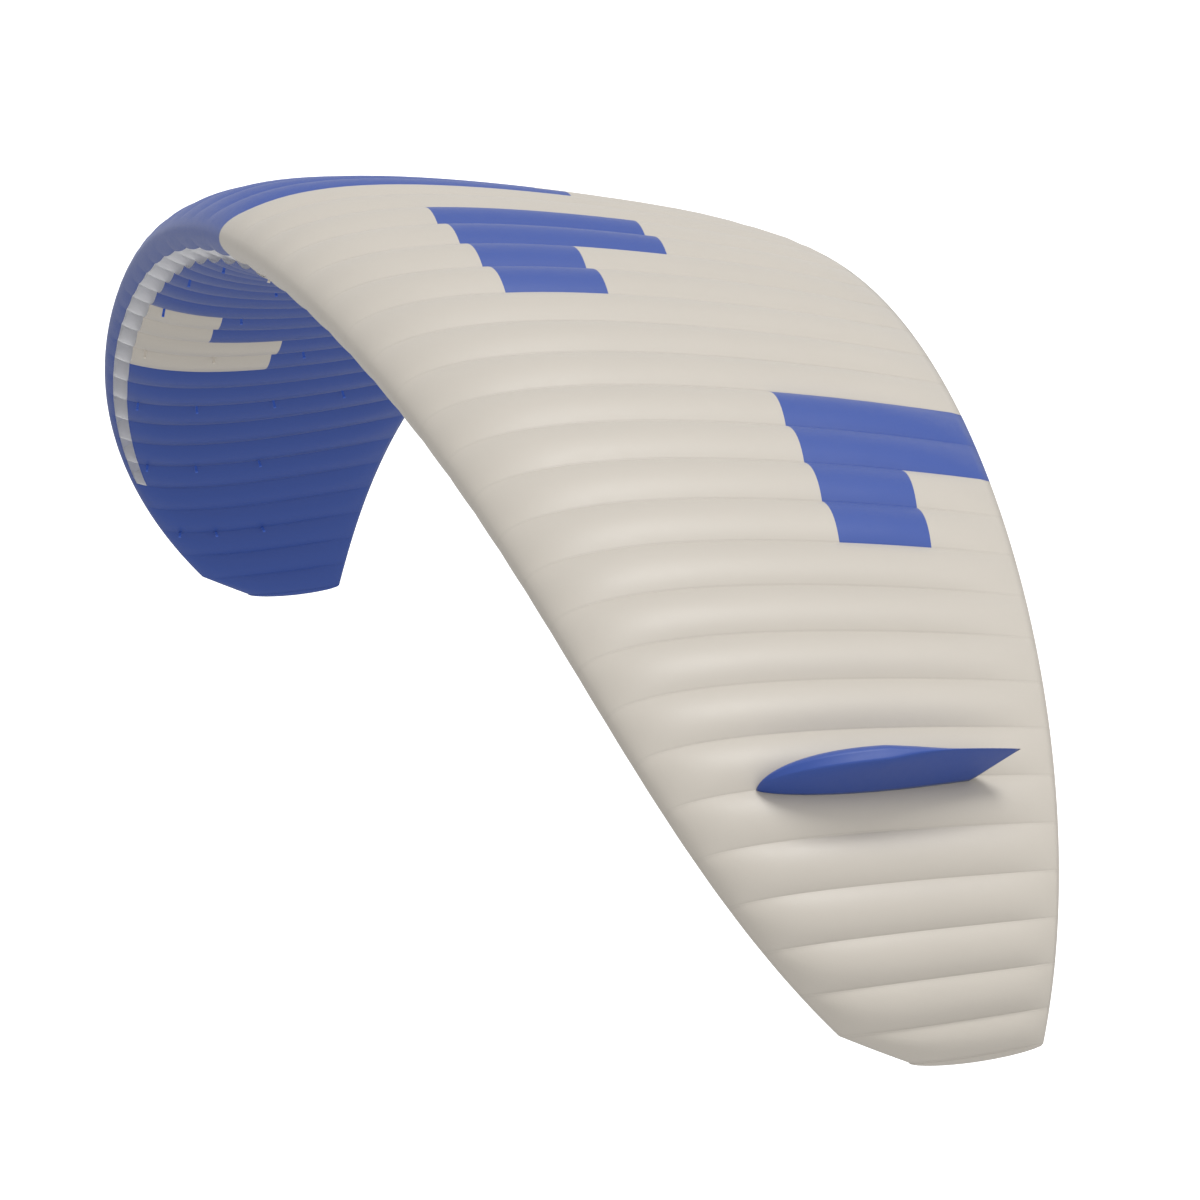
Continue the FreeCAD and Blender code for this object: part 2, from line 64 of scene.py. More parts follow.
TWIST_CENTRE = 0.3
SECTION_THICKNESS = 0.156
EDGE_HALF_HEIGHT = 0.006
BULGE_SHARE = 0.135         # a little more than in the CAD, whose swelling stands for slack cloth
SWELL_POWER = 3             # the swelling also starts nearer the nose than the CAD's
EDGE_TAPER = 0.98           # the cloth closes to a thin edge behind this share of the chord
EDGE_LEFT = 0.2             # share of the height that is left at the trailing edge
LOOP_REACH = 0.038          # from the cloth to the middle of a line loop's eye
A_ROW = 0.09

# where the cloth is cut
UPPER_LIP = 0.020
LOWER_LIP = 0.058
BRAKE_LINE = 0.80
INTAKE_START = 5
FOLD_START = 7              # the cloth starts to fold here
FOLD_RIB = 8
FOLD_END = 9
FLAP_OUTER = 11
FLAP_INNER = 20
HINGE_REACH = 0.06          # share of the chord that bends on each side of the brake line
WINGLET_RIB = 6
WINGLET_START = 0.21        # chord shares of its nose, the end of its foot and its aft point
WINGLET_END = 0.76
WINGLET_TIP = 0.87
WINGLET_TIP_HEIGHT = 0.177
WINGLET_HEIGHT = 0.235
WINGLET_PEAK = 0.56         # where along its length it is tallest
WINGLET_HALF_WIDTH = 0.062  # half its width at the foot
WINGLET_LEAN = 0.040        # how far its outer edge leans towards the wing's tip
TIP_END_BULGE = 0.030

# how finely the cloth is drawn
CELL_STEPS = 10
NOSE_STEP = 0.03            # between turn values near the nose
CLOTH = 0.0008
WINGLET_ROWS = 60
WINGLET_COLUMNS = 41
TIP_END_COLUMNS = 9
RIB_LEVELS = 5              # points up each of the flap's ribs
TURN_STEP = 0.002           # step of turn value for the section curve's direction
HEM_START = 0.002           # stitch distances start here on the small pieces
RIB_GAP = 0.02              # the flap's ribs start this share of the chord behind the brake line
RIB_END = 0.975             # and end here
RIB_FILL = 0.94             # share of the section's height that they fill
LOOP_STEPS = 60             # how finely the cloth is searched for the colour beside a loop
GUSSET_MARGIN = 1.05        # a bending cell reaches stillness a little before its far rib
JOIN_DISTANCE = 1e-5        # points of a sheet nearer than this are one point
ON_SEAM = 1e-6              # points nearer to a seam than this lie on it

# the winglet's shape
WINGLET_ROW_POWER = 1.5     # draws its rows closer together at the nose
WINGLET_LEVEL_POWER = 1.5   # draws the points on its sides closer to the outer edge
WINGLET_FALL = 1.5          # power of the outer edge's fall behind its peak
WINGLET_BELLY = 2.7         # its width along its length is belly * share ** power * (1 - share)
WINGLET_BELLY_POWER = 0.6
WINGLET_ROUND = 0.38        # power of its section's roundness at the nose, low for a round edge
WINGLET_RIDGE = 0.5         # what is added to that power aft, for a sharp ridge
RIDGE_START = 0.45          # shares of its length between which the ridge sharpens
RIDGE_LENGTH = 0.25


def power_sum(terms, fraction):
    """Add up the terms of a polynomial given as {power: factor}."""
    return sum(factor * fraction ** power for power, factor in terms.items())


def span_fraction(rib):
    """Share of the half span at which a rib (or a place between ribs) stands."""
    inward = (CELLS - rib) / CELLS
    fraction = (1 + SPREAD_3 + SPREAD_7) * inward - SPREAD_3 * inward ** 3 - SPREAD_7 * inward ** 7
    return fraction - np.maximum(0.0, 1 - rib) * TIP_TRIM / HALF_SPAN


def running_sum(values, step):
    """Integral of evenly spaced values up to each one."""
    return np.concatenate([[0.0], np.cumsum((values[1:] + values[:-1]) / 2)]) * step


ARCH_GRID = np.linspace(0, 1, 4001)
ARCH_ANGLES = np.radians(power_sum(ARCH, ARCH_GRID))
ARCH_ACROSS = HALF_SPAN * running_sum(np.cos(ARCH_ANGLES), ARCH_GRID[1])
ARCH_DOWN = HALF_SPAN * running_sum(np.sin(ARCH_ANGLES), ARCH_GRID[1])


class Stations:
    """Chordwise sections of the left wing at an array of rib numbers."""

    def __init__(self, rib):
        rib = np.asarray(rib, float)
        fraction = span_fraction(rib)
        angle = np.radians(power_sum(ARCH, fraction))
        zero = np.zeros_like(angle)
        cut = TIP_NOSE_CUT * np.maximum(0.0, 1 - rib)
        across = np.interp(fraction, ARCH_GRID, ARCH_ACROSS)
        down = np.interp(fraction, ARCH_GRID, ARCH_DOWN)
        self.origin = np.stack([across, zero, -down], -1)
        self.spanwise = np.stack([np.cos(angle), zero, -np.sin(angle)], -1)
        self.up = np.stack([np.sin(angle), zero, np.cos(angle)], -1)
        self.nose = power_sum(SWEEP, fraction) + cut
        self.chord = ROOT_CHORD - power_sum(TAPER, fraction) - cut
        self.twist = np.radians(ROOT_TWIST - TWIST_LOSS * fraction ** 2)
        whole = np.minimum(np.floor(rib), CELLS - 1)
        self.cell_width = HALF_SPAN * (span_fraction(whole) - span_fraction(whole + 1))
        self.share = rib - whole

    def half_height(self, place):
        """Half the height of the section at a share of its chord."""
        curve = (0.2969 * np.sqrt(place) - 0.126 * place - 0.3516 * place ** 2
                 + 0.2843 * place ** 3 - 0.1036 * place ** 4)
        full = 5 * SECTION_THICKNESS * self.chord * curve + EDGE_HALF_HEIGHT * place
        return full * np.clip((1 - place) / (1 - EDGE_TAPER) + EDGE_LEFT, 0, 1)

    def flat_point(self, turn):
        """Section point before twist, with the cell's swelling."""
        place = turn * turn
        swell = BULGE_SHARE * self.cell_width * 4 * self.share * (1 - self.share)
        height = self.half_height(place) + swell * swell_fade(place)
        return self.chord * place, np.sign(turn) * height

    def place(self, x, z):
        """Turn chordwise and upward distances of the flat section into points of the part."""
        pivot = TWIST_CENTRE * self.chord
        back = self.nose + pivot + (x - pivot) * np.cos(self.twist) + z * np.sin(self.twist)
        rise = z * np.cos(self.twist) - (x - pivot) * np.sin(self.twist)
        along_y = np.stack([np.zeros_like(back), back, np.zeros_like(back)], -1)
        return self.origin + along_y + self.up * rise[..., None] - HANG

    def point(self, turn, out=0.0):
        """Points of the section at turn values, moved outward by a distance."""
        turn = np.asarray(turn, float)
        x, z = self.flat_point(turn)
        if np.any(out):
            before = self.flat_point(turn - TURN_STEP)
            after = self.flat_point(turn + TURN_STEP)
            along = after[0] - before[0]
            rise = after[1] - before[1]
            length = np.hypot(along, rise)
            x = x - out * rise / length
            z = z + out * along / length
        return self.place(x, z)


def swell_fade(place):
    """Share of a cell's swelling at a share of the chord: none at the nose and at the trailing edge."""
    return 1 - (1 - 4 * place * (1 - place)) ** SWELL_POWER


HANG = np.zeros(3)
HANG = Stations(float(CELLS)).point(-math.sqrt(A_ROW), LOOP_REACH)


def sampled(start, end, marks=()):
    """Turn values from start to end, closer together near the nose, with the marks among them."""
    low, high = sorted((start, end))
    values = [low, high] + [mark for mark in marks if low < mark < high]
    values += list(np.arange(math.ceil(low / NOSE_STEP), math.floor(high / NOSE_STEP) + 1) * NOSE_STEP)
    kept = []
    for value in sorted(values):
        near = kept and value - kept[-1] < NOSE_STEP / 4
        if near and value not in (high, *marks):
            continue
        if near and kept[-1] not in (low, *marks):
            kept.pop()
        if not kept or value > kept[-1]:
            kept.append(value)
    return kept if start < end else kept[::-1]


# colours of the cells: (first rib, last rib, chord share from, to, is it the upper side)
def patch(first, last, start, end, is_upper):
    """A block of cells whose cloth has the other colour."""
    return {"ribs": (first, last), "places": (start, end), "upper": is_upper}


LEFT_BLUE = [patch(20, 22, 0.27, 0.63, True), patch(18, 20, 0.27, 0.45, True),
             patch(13, 15, 0.625, 1.01, True), patch(11, 13, 0.625, 0.82, True)]
RIGHT_CREAM = [patch(11, 13, 0.05, 0.41, False), patch(13, 15, 0.05, 0.22, False),
               patch(23, 24, 0.62, 1.01, True), patch(22, 23, 0.60, 1.01, True)]
SIDES = {"left": {"sign": 1, "ground": 0, "patches": LEFT_BLUE},
         "right": {"sign": -1, "ground": 1, "patches": RIGHT_CREAM}}
MARKS = sorted({math.copysign(math.sqrt(place), 1 if item["upper"] else -1)
                for item in LEFT_BLUE + RIGHT_CREAM for place in item["places"] if 0 < place < 1}
               | {side * math.sqrt(EDGE_TAPER) for side in (1, -1)})


def colour_index(side, rib, turn):
    """0 where a side's cloth is cream and 1 where it is blue."""
    for item in side["patches"]:
        in_ribs = item["ribs"][0] < rib < item["ribs"][1]
        if in_ribs and item["places"][0] < turn * turn < item["places"][1] and (turn > 0) == item["upper"]:
            return 1 - side["ground"]
    return side["ground"]


def sail(name, side_name, parts, materials):
    """One sheet of sail cloth made of grids, each from a first to a last rib over a list of turns."""
    side = SIDES[side_name]
    mesh = bmesh.new()
    across = mesh.verts.layers.float.new("seam")
    hem = mesh.verts.layers.float.new("hem")
    cloth_uv = mesh.loops.layers.uv.new("cloth")
    width = 0.0
    length = 0.0
    for first, last, turns in parts:
        columns = np.linspace(first, last, (last - first) * CELL_STEPS + 1)
        stations = Stations(columns[:, None] * np.ones(len(turns)))
        turn = np.ones(len(columns))[:, None] * np.array(turns)
        points = stations.point(turn)
        spans = running_sum(stations.cell_width[:, 0], 1.0) / CELL_STEPS
        steps = np.linalg.norm(np.diff(points, axis=1), axis=2)
        runs = np.concatenate([np.zeros((len(columns), 1)), np.cumsum(steps, axis=1)], axis=1)
        width += spans[-1]
        length = max(length, runs[:, -1].max())
        points[..., 0] *= side["sign"]
        seam = stations.cell_width * np.minimum(stations.share, 1 - stations.share)
        edge = hem_distance(turn, stations.chord, columns[:, None])
        grid = [[mesh.verts.new(points[i, j]) for j in range(len(turns))] for i in range(len(columns))]
        for i in range(len(columns)):
            for j in range(len(turns)):
                grid[i][j][across] = seam[i, j]
                grid[i][j][hem] = edge[i, j]
        for i in range(len(columns) - 1):
            for j in range(len(turns) - 1):
                corners = [(i, j), (i + 1, j), (i + 1, j + 1), (i, j + 1)]
                if (turns[1] > turns[0]) == (side["sign"] > 0):
                    corners.reverse()
                face = mesh.faces.new([grid[a][b] for a, b in corners])
                face.smooth = True
                at_tail = abs(turns[j]) == 1 and abs(turns[j + 1]) == 1
                middle = turns[j] if at_tail else (turns[j] + turns[j + 1]) / 2
                face.material_index = colour_index(side, (columns[i] + columns[i + 1]) / 2, middle)
                for loop, (a, b) in zip(face.loops, corners):
                    loop[cloth_uv].uv = (spans[a], runs[a, b])
    bmesh.ops.remove_doubles(mesh, verts=mesh.verts, dist=JOIN_DISTANCE)
    for edge in mesh.edges:
        edge.smooth = not edge.is_boundary and not all(vert[across] < ON_SEAM for vert in edge.verts)
    piece, solid = cloth_piece(name, mesh, materials, width, length)
    solid.offset = -1
    solid.material_offset = 2
    solid.material_offset_rim = 0
    return piece


def cloth_piece(name, mesh, materials, width, length):
    """A new object of the mesh with the cloth's thickness, which remembers its flat size."""
    area = sum(face.calc_area() for face in mesh.faces)
    data = bpy.data.meshes.new(name)
    mesh.to_mesh(data)
    mesh.free()
    for material in materials:
        data.materials.append(material)
    piece = bpy.data.objects.new(name, data)
    bpy.context.scene.collection.objects.link(piece)
    solid = piece.modifiers.new("cloth", "SOLIDIFY")
    solid.thickness = CLOTH
    piece["flat"] = [width, length, area]
    return piece, solid


LIP_SPLIT = 0.8             # share of the lower lip's turn value ahead of which the upper lip is nearer
LIP_RUN = 0.5               # length of cloth round the nose, per turn value and length of chord
FAR = 1.0                   # stands for no cut edge near


def hem_distance(turn, chord, rib):
    """How far a place is from the nearest cut edge: a lip of the intake or the trailing edge."""
    place = turn * turn
    far = np.full_like(place, FAR)
    back = (1 - place) * chord
    open_cell = rib >= INTAKE_START
    lips = np.where(open_cell, np.where(turn > -math.sqrt(LOWER_LIP) * LIP_SPLIT,
                                        np.abs(turn + math.sqrt(UPPER_LIP)) * chord * LIP_RUN,
                                        (place - LOWER_LIP) * chord), far)
    return np.minimum(back, lips)


UP_LIP = -math.sqrt(UPPER_LIP)
LOW_LIP = -math.sqrt(LOWER_LIP)
HINGE_START = math.sqrt(BRAKE_LINE - HINGE_REACH)


# the sail cloth's surface, with lengths in metres
SAIL_ROUGHNESS = 0.46
SAIL_SHEEN = 0.12
SAIL_SPECULAR = 0.42
GRID_HALF = 0.0025          # half the ripstop grid's spacing
GRID_LINE = 0.0003
STITCH_HALF = 0.003         # half a stitch and its gap
STITCH_GAP = 0.0008
STITCH_WIDTH = 0.0012
SEAM_STITCH = 0.004         # how far the stitches run from a seam and from a hem
HEM_STITCH = 0.010
DOUBLED_WIDTH = 0.009       # the cloth is doubled this far from a seam or hem
PUCKER_STRETCH = (6.0, 38.0, 1.0)
PUCKER_FADE = 0.02
PUCKER_HEIGHT = 0.0016
GRID_HEIGHT = 0.00012
STITCH_HEIGHT = 0.0003
# how much each of them changes the shade, and the shade they start from
SHADE_BASE = 0.96
BROAD_SHADE = 0.06
FINE_SHADE = 0.02
GRID_SHADE = 0.05
DOUBLED_SHADE = 0.012
STITCH_SHADE = 0.05
FINE_ROUGHNESS = 0.12       # how much the roughness varies

# plain cloth and tape
PLAIN_SHEEN = 0.3
PLAIN_SHADE_BASE = 0.90
PLAIN_BROAD_SHADE = 0.12
WEAVE_SHADE = 0.06
WEAVE_HEIGHT = 0.0006


def node_material(name, base, roughness, sheen, specular=0.5):
    """A new material with its shader node and its base colour."""
    material = bpy.data.materials.new(name)
    material.use_nodes = True
    shader = material.node_tree.nodes["Principled BSDF"]
    shader.inputs["Base Color"].default_value = (*base, 1)
    shader.inputs["Roughness"].default_value = roughness
    shader.inputs["Sheen Weight"].default_value = sheen
    shader.inputs["Sheen Roughness"].default_value = 0.3
    shader.inputs["Specular IOR Level"].default_value = specular
    return material, shader


def math_node(tree, operation, first, second=None):
    """Output of a new math node whose inputs are numbers or sockets."""
    node = tree.nodes.new("ShaderNodeMath")
    node.operation = operation
    for index, value in enumerate((first, second)):
        if value is None:
            continue
        if isinstance(value, (int, float)):
            node.inputs[index].default_value = value
        else:
            tree.links.new(value, node.inputs[index])
    return node.outputs[0]


def scaled_from(tree, value, factor, start):
    """A value times a factor, added to a start."""
    result = math_node(tree, "MULTIPLY_ADD", value, factor)
    result.node.inputs[2].default_value = start
    return result


def noise(tree, vector, scale, detail):
    """Output of a new noise texture."""
    node = tree.nodes.new("ShaderNodeTexNoise")
    node.inputs["Scale"].default_value = scale
    node.inputs["Detail"].default_value = detail
    tree.links.new(vector, node.inputs["Vector"])
    return node.outputs["Fac"]


def attribute(tree, name):
    """A value that the mesh's points carry."""
    node = tree.nodes.new("ShaderNodeAttribute")
    node.attribute_name = name
    return node.outputs["Fac"]


def tint(tree, shader, base, shade):
    """Multiply the base colour by a shade."""
    mix = tree.nodes.new("ShaderNodeMix")
    mix.data_type = "RGBA"
    mix.blend_type = "MULTIPLY"
    mix.inputs[0].default_value = 1.0
    mix.inputs[6].default_value = (*base, 1)
    tree.links.new(shade, mix.inputs[7])
    tree.links.new(mix.outputs[2], shader.inputs["Base Color"])


def emboss(tree, shader, height, strength, distance):
    """Raise the surface by a height."""
    bump = tree.nodes.new("ShaderNodeBump")
    bump.inputs["Strength"].default_value = strength
    bump.inputs["Distance"].default_value = distance
    tree.links.new(height, bump.inputs["Height"])
    tree.links.new(bump.outputs["Normal"], shader.inputs["Normal"])


def stitch_line(tree, distance, place, along):
    """1 on the stitches of a line that runs at a place beside an edge, dashed along a coordinate."""
    dash = math_node(tree, "GREATER_THAN", math_node(tree, "PINGPONG", along, STITCH_HALF), STITCH_GAP)
    near = math_node(tree, "COMPARE", distance, place)
    near.node.inputs[2].default_value = STITCH_WIDTH
    return math_node(tree, "MULTIPLY", near, dash)


def ripstop_grid(tree, across, along):
    """1 on the lines of the woven grid."""
    lines = [math_node(tree, "LESS_THAN", math_node(tree, "PINGPONG", coordinate, GRID_HALF), GRID_LINE)
             for coordinate in (across, along)]
    return math_node(tree, "MAXIMUM", *lines)


def sail_material(name, base):
    """Coated ripstop sail cloth: fine grid, stitched seams and hems, slight variation and puckers."""
    material, shader = node_material(name, base, SAIL_ROUGHNESS, SAIL_SHEEN, SAIL_SPECULAR)
    tree = material.node_tree
    uv = tree.nodes.new("ShaderNodeUVMap")
    uv.uv_map = "cloth"
    split = tree.nodes.new("ShaderNodeSeparateXYZ")
    tree.links.new(uv.outputs["UV"], split.inputs[0])
    across, along = split.outputs[0], split.outputs[1]
    grid = ripstop_grid(tree, across, along)
    seam = attribute(tree, "seam")
    hem = attribute(tree, "hem")
    stitches = math_node(tree, "MAXIMUM", stitch_line(tree, seam, SEAM_STITCH, along),
                         stitch_line(tree, hem, HEM_STITCH, across))
    doubled = math_node(tree, "LESS_THAN", math_node(tree, "MINIMUM", seam, hem), DOUBLED_WIDTH)
    place = tree.nodes.new("ShaderNodeTexCoord").outputs["Object"]
    broad = noise(tree, place, 1.6, 3.0)
    fine = noise(tree, place, 22.0, 4.0)
    shade = scaled_from(tree, broad, BROAD_SHADE, SHADE_BASE)
    shade = math_node(tree, "ADD", shade, math_node(tree, "MULTIPLY", fine, FINE_SHADE))
    for mark, amount in ((grid, GRID_SHADE), (doubled, DOUBLED_SHADE), (stitches, STITCH_SHADE)):
        shade = math_node(tree, "SUBTRACT", shade, math_node(tree, "MULTIPLY", mark, amount))
    tint(tree, shader, base, shade)
    rough = scaled_from(tree, fine, FINE_ROUGHNESS, SAIL_ROUGHNESS - FINE_ROUGHNESS / 2)
    tree.links.new(rough, shader.inputs["Roughness"])
    stretch = tree.nodes.new("ShaderNodeMapping")
    stretch.inputs["Scale"].default_value = PUCKER_STRETCH
    tree.links.new(uv.outputs["UV"], stretch.inputs["Vector"])
    pucker = noise(tree, stretch.outputs[0], 1.0, 3.0)
    fade = math_node(tree, "DIVIDE", PUCKER_FADE, math_node(tree, "ADD", seam, PUCKER_FADE))
    height = math_node(tree, "MULTIPLY", math_node(tree, "MULTIPLY", pucker, fade), PUCKER_HEIGHT)
    for mark, amount in ((grid, GRID_HEIGHT), (stitches, STITCH_HEIGHT)):
        height = math_node(tree, "ADD", height, math_node(tree, "MULTIPLY", mark, amount))
    emboss(tree, shader, height, 0.6, 1.0)
    return material


def plain_cloth(name, base, roughness=0.7, scale=900.0, painted_light=0.0):
    """Woven cloth or tape without seams; its emission in the base colour is painted light, which brightens
    it where it lies in shade.
    """
    material, shader = node_material(name, base, roughness, PLAIN_SHEEN)
    tree = material.node_tree
    # painted light: the cloth glows in its own colour
    shader.inputs["Emission Color"].default_value = (*base, 1)
    shader.inputs["Emission Strength"].default_value = painted_light
    place = tree.nodes.new("ShaderNodeTexCoord").outputs["Object"]
    broad = noise(tree, place, 6.0, 3.0)
    weave = noise(tree, place, scale, 1.0)
    shade = scaled_from(tree, broad, PLAIN_BROAD_SHADE, PLAIN_SHADE_BASE)
    shade = math_node(tree, "ADD", shade, math_node(tree, "MULTIPLY", weave, WEAVE_SHADE))
    tint(tree, shader, base, shade)
    emboss(tree, shader, weave, 0.4, WEAVE_HEIGHT)
    return material


CREAM = (0.46, 0.425, 0.375)
BLUE = (0.024, 0.063, 0.280)
cream_cloth = sail_material("cream_ripstop", CREAM)
blue_cloth = sail_material("blue_ripstop", BLUE)
# the inside cloths and the ribs glow a little: painted light that brightens the shaded insides of the cells.
# The inside cloths' pale tones are partly their own colour and partly painted light of the same kind
cream_inside = plain_cloth("cream_inside", (0.82, 0.80, 0.76), painted_light=0.06)
blue_inside = plain_cloth("blue_inside", (0.74, 0.75, 0.82), painted_light=0.06)
rib_cloth = plain_cloth("rib_cloth", (0.86, 0.86, 0.87), painted_light=0.03)
# the loop tapes glow: painted light that lifts them out of the shade under the wing
cream_tape = plain_cloth("cream_tape", CREAM, 0.75, 400.0, 0.2)
blue_tape = plain_cloth("blue_tape", BLUE, 0.75, 400.0, 0.5)
strap_tape = plain_cloth("strap_tape", (0.72, 0.72, 0.70), 0.7, 400.0)
batten_plastic = plain_cloth("batten_plastic", (0.16, 0.17, 0.18), 0.35, 60.0)
SAIL = [cream_cloth, blue_cloth, cream_inside, blue_inside]


def cover(side_name):
    """All the sail cloth of one side; the pieces that don't bend ride on their body, and the CAD nodes that
    the pieces stand for are hidden.
    """
    wing = "wing"
    flap = side_name + "_brake_flap"
    tip = side_name + "_wing_tip"
    top_front = sampled(UP_LIP, HINGE_START, MARKS)
    top_rear = sampled(HINGE_START, 1.0, MARKS) + [-1.0]
    belly_front = sampled(-HINGE_START, LOW_LIP, MARKS)
    belly_rear = sampled(-1.0, -HINGE_START, MARKS)
    round_edge = sampled(-HINGE_START, -1.0, MARKS) + sampled(1.0, HINGE_START, MARKS)
    top_all = sampled(UP_LIP, 1.0, MARKS) + [-1.0]
    belly_all = sampled(-1.0, LOW_LIP, MARKS)
    closed = sampled(-1.0, 1.0, MARKS) + [-1.0]
    made = {
        "top_sail": ([(FOLD_END, CELLS, top_front), (FOLD_END, FLAP_OUTER, top_rear),
                      (FLAP_INNER, CELLS, top_rear)], wing, None,
                     ["upper_sail_outer", "upper_sail_middle", "upper_sail_inner", "nose_panel",
                      "edge_tape"]),
        "belly_sail": ([(FOLD_END, CELLS, belly_front), (FOLD_END, FLAP_OUTER, belly_rear),
                        (FLAP_INNER, CELLS, belly_rear)], wing, None,
                       ["lower_sail_outer", "lower_sail_middle", "lower_sail_inner"]),
        "flap_sail": ([(FLAP_OUTER + 1, FLAP_INNER - 1, round_edge)], wing, flap,
                      ["brake_upper_sail", "brake_lower_sail", "brake_edge_tape"]),
        "flap_outer_gusset": ([(FLAP_OUTER, FLAP_OUTER + 1, round_edge)], wing, flap, []),
        "flap_inner_gusset": ([(FLAP_INNER - 1, FLAP_INNER, round_edge)], wing, flap, []),
        "fold_sail": ([(FOLD_START, FOLD_END, top_all), (FOLD_START, FOLD_END, belly_all)], wing, tip, []),
        "tip_sail": ([(0, INTAKE_START, closed), (INTAKE_START, FOLD_START, top_all),
                      (INTAKE_START, FOLD_START, belly_all)], tip, None,
                     ["tip_upper_sail", "tip_lower_sail", "tip_nose_panel", "tip_edge_tape"]),
    }
    for name, (parts, body, other, nodes) in made.items():
        piece = sail(name + "_" + side_name, side_name, parts, SAIL)
        if other is None:
            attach(piece, body)
        else:
            start, end = BENDS[name](side_name)
            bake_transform(piece)
        if nodes:
            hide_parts(*[node + "_" + side_name for node in nodes])


def grid_sheet(name, grids, material):
    """Cloth over one or more grids of points, each given as rows of 3-D points."""
    mesh = bmesh.new()
    seam = mesh.verts.layers.float.new("seam")
    hem = mesh.verts.layers.float.new("hem")
    cloth_uv = mesh.loops.layers.uv.new("cloth")
    for points in grids:
        rows, columns = points.shape[:2]
        runs = np.linalg.norm(np.diff(points, axis=1), axis=2)
        runs = np.concatenate([np.zeros((rows, 1)), np.cumsum(runs, axis=1)], axis=1)
        spans = np.linalg.norm(np.diff(points.mean(1), axis=0), axis=1)
        spans = np.concatenate([[0.0], np.cumsum(spans)])
        grid = [[mesh.verts.new(points[i, j]) for j in range(columns)] for i in range(rows)]
        for i in range(rows):
            for j in range(columns):
                grid[i][j][seam] = min(runs[i, j], runs[i, -1] - runs[i, j]) + HEM_START
                grid[i][j][hem] = min(spans[i], spans[-1] - spans[i]) + HEM_START
        for i in range(rows - 1):
            for j in range(columns - 1):
                corners = [(i, j), (i + 1, j), (i + 1, j + 1), (i, j + 1)]
                face = mesh.faces.new([grid[a][b] for a, b in corners])
                face.smooth = True
                for loop, (a, b) in zip(face.loops, corners):
                    loop[cloth_uv].uv = (runs[a, b], spans[a])
    bmesh.ops.remove_doubles(mesh, verts=mesh.verts, dist=JOIN_DISTANCE)
    width = float(runs[:, -1].max()) * len(grids)
    piece, solid = cloth_piece(name, mesh, [material], width, float(spans[-1]))
    solid.offset = 0
    return piece


def winglet_top(share):
    """Height of the winglet's outer edge: a quarter ellipse up to its peak, then a gentle fall."""
    rise = WINGLET_HEIGHT * np.sqrt(1 - (1 - np.minimum(share / WINGLET_PEAK, 1)) ** 2)
    fall = np.maximum(share - WINGLET_PEAK, 0) / (1 - WINGLET_PEAK)
    return rise - (WINGLET_HEIGHT - WINGLET_TIP_HEIGHT) * fall ** WINGLET_FALL


def winglet(side_name):
    """The winglet's cloth, round its outer edge from one foot to the other, with a sharp aft ridge."""
    share = np.linspace(0, 1, WINGLET_ROWS)[:, None] ** WINGLET_ROW_POWER
    around = np.linspace(-1, 1, WINGLET_COLUMNS)[None, :]
    place = WINGLET_START + (WINGLET_TIP - WINGLET_START) * share
    foot = WINGLET_TIP_HEIGHT * np.maximum(0, place - WINGLET_END) / (WINGLET_TIP - WINGLET_END)
    level = 1 - np.abs(around) ** WINGLET_LEVEL_POWER
    height = foot + (winglet_top(share) - foot) * level
    ridge = np.clip((share - RIDGE_START) / RIDGE_LENGTH, 0, 1)
    belly = WINGLET_BELLY * share ** WINGLET_BELLY_POWER * (1 - share)
    relative = np.clip(height / np.maximum(winglet_top(share), 1e-6), 0, 1)
    roundness = WINGLET_ROUND + WINGLET_RIDGE * ridge
    width = WINGLET_HALF_WIDTH * belly * (1 - relative ** 2) ** roundness
    section = Stations(np.full(height.shape, float(WINGLET_RIB)))
    beside = Stations(WINGLET_RIB - np.sign(around) * width / section.cell_width)
    turn = np.sqrt(place) * np.ones_like(height)
    base = beside.point(turn)
    points = base + section.up * (height - CLOTH)[..., None]
    lean = WINGLET_LEAN * (1 - share ** 3) * (height / WINGLET_HEIGHT) ** 2
    points += section.spanwise * lean[..., None]
    points[..., 0] *= SIDES[side_name]["sign"]
    piece = grid_sheet("winglet_" + side_name, [points], blue_cloth)
    parts = ("inner_side", "outer_side", "rib")
    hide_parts(*["winglet_%s_%s" % (part, side_name) for part in parts])
    return piece


def tip_end(side_name):
    """The cloth that closes the wing's end, over the last rib."""
    turn = np.array(sampled(0.0, 1.0))[:, None]
    level = np.linspace(-1, 1, TIP_END_COLUMNS)[None, :]
    section = Stations(np.zeros((len(turn), TIP_END_COLUMNS)))
    x, z = section.flat_point(turn * np.ones(level.shape))
    points = section.place(x, z * level)
    bulge = TIP_END_BULGE * (1 - level ** 2) * np.sin(math.pi * turn ** 2) ** 0.5
    points += section.spanwise * bulge[..., None]
    side = SIDES[side_name]
    points[..., 0] *= side["sign"]
    return grid_sheet("tip_end_" + side_name, [points], SAIL[side["ground"]])


def flap_ribs(side_name):
    """The flap's ribs. The CAD's two outermost ones would cut the cells that bend beside the flap."""
    turn = np.array(sampled(math.sqrt(BRAKE_LINE + RIB_GAP), math.sqrt(RIB_END)))[:, None]
    level = np.linspace(-RIB_FILL, RIB_FILL, RIB_LEVELS)[None, :]
    grids = []
    for rib in range(FLAP_OUTER + 1, FLAP_INNER):
        section = Stations(np.full((len(turn), level.size), float(rib)))
        x, z = section.flat_point(turn * np.ones(level.shape))
        points = section.place(x, z * level)
        points[..., 0] *= SIDES[side_name]["sign"]
        grids.append(points)
    piece = grid_sheet("flap_ribs_" + side_name, grids, rib_cloth)
    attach(piece, side_name + "_brake_flap")
    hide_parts("brake_ribs_" + side_name)


